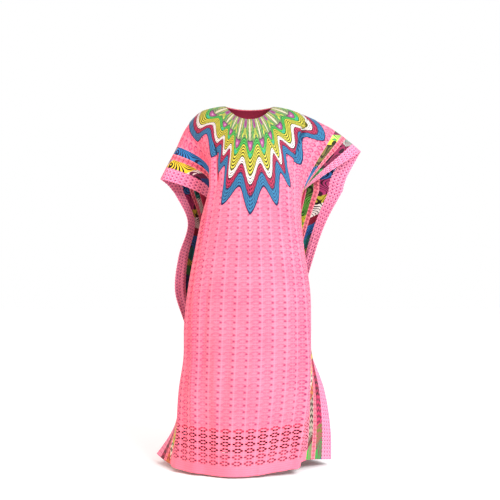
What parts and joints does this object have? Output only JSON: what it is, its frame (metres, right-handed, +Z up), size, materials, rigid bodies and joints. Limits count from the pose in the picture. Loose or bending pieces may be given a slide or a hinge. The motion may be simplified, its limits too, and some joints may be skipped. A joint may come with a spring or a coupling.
{
  "type": "grand boubou robe",
  "caption": "Floor-length grand boubou robe of pink lace with a sunburst printed yoke, printed bands and open sides, held in its worn shape.",
  "frame": {"origin": "midway between the shoulders on the shoulder line, where the wearer holds the robe up", "axes": "+Z up, the front faces -Y, the wearer's right arm is on the -X side"},
  "size_m": [0.7729, 0.5169, 1.336],
  "materials": {
    "pink_lace": "matte openwork lace",
    "pink_lining": "matte plain weave",
    "sunburst_print": "printed cotton, smooth",
    "wax_print_inner": "printed cotton, smooth",
    "wax_print_outer": "printed cotton, smooth",
    "lace_edging": "matte eyelet lace"
  },
  "bodies": {
    "root": {"front_panel": "pink_lace", "front_lining": "pink_lining", "yoke_front": "sunburst_print", "right_front_inner_band": "wax_print_inner", "right_front_insertion": "pink_lace", "right_front_outer_band": "wax_print_outer", "right_front_edging": "lace_edging", "left_front_inner_band": "wax_print_inner", "left_front_insertion": "pink_lace", "left_front_outer_band": "wax_print_outer", "left_front_edging": "lace_edging", "back_panel": "pink_lace", "back_lining": "pink_lining", "yoke_back": "sunburst_print", "right_back_inner_band": "wax_print_inner", "right_back_insertion": "pink_lace", "right_back_outer_band": "wax_print_outer", "right_back_edging": "lace_edging", "left_back_inner_band": "wax_print_inner", "left_back_insertion": "pink_lace", "left_back_outer_band": "wax_print_outer", "left_back_edging": "lace_edging"}
  },
  "joints": []
}
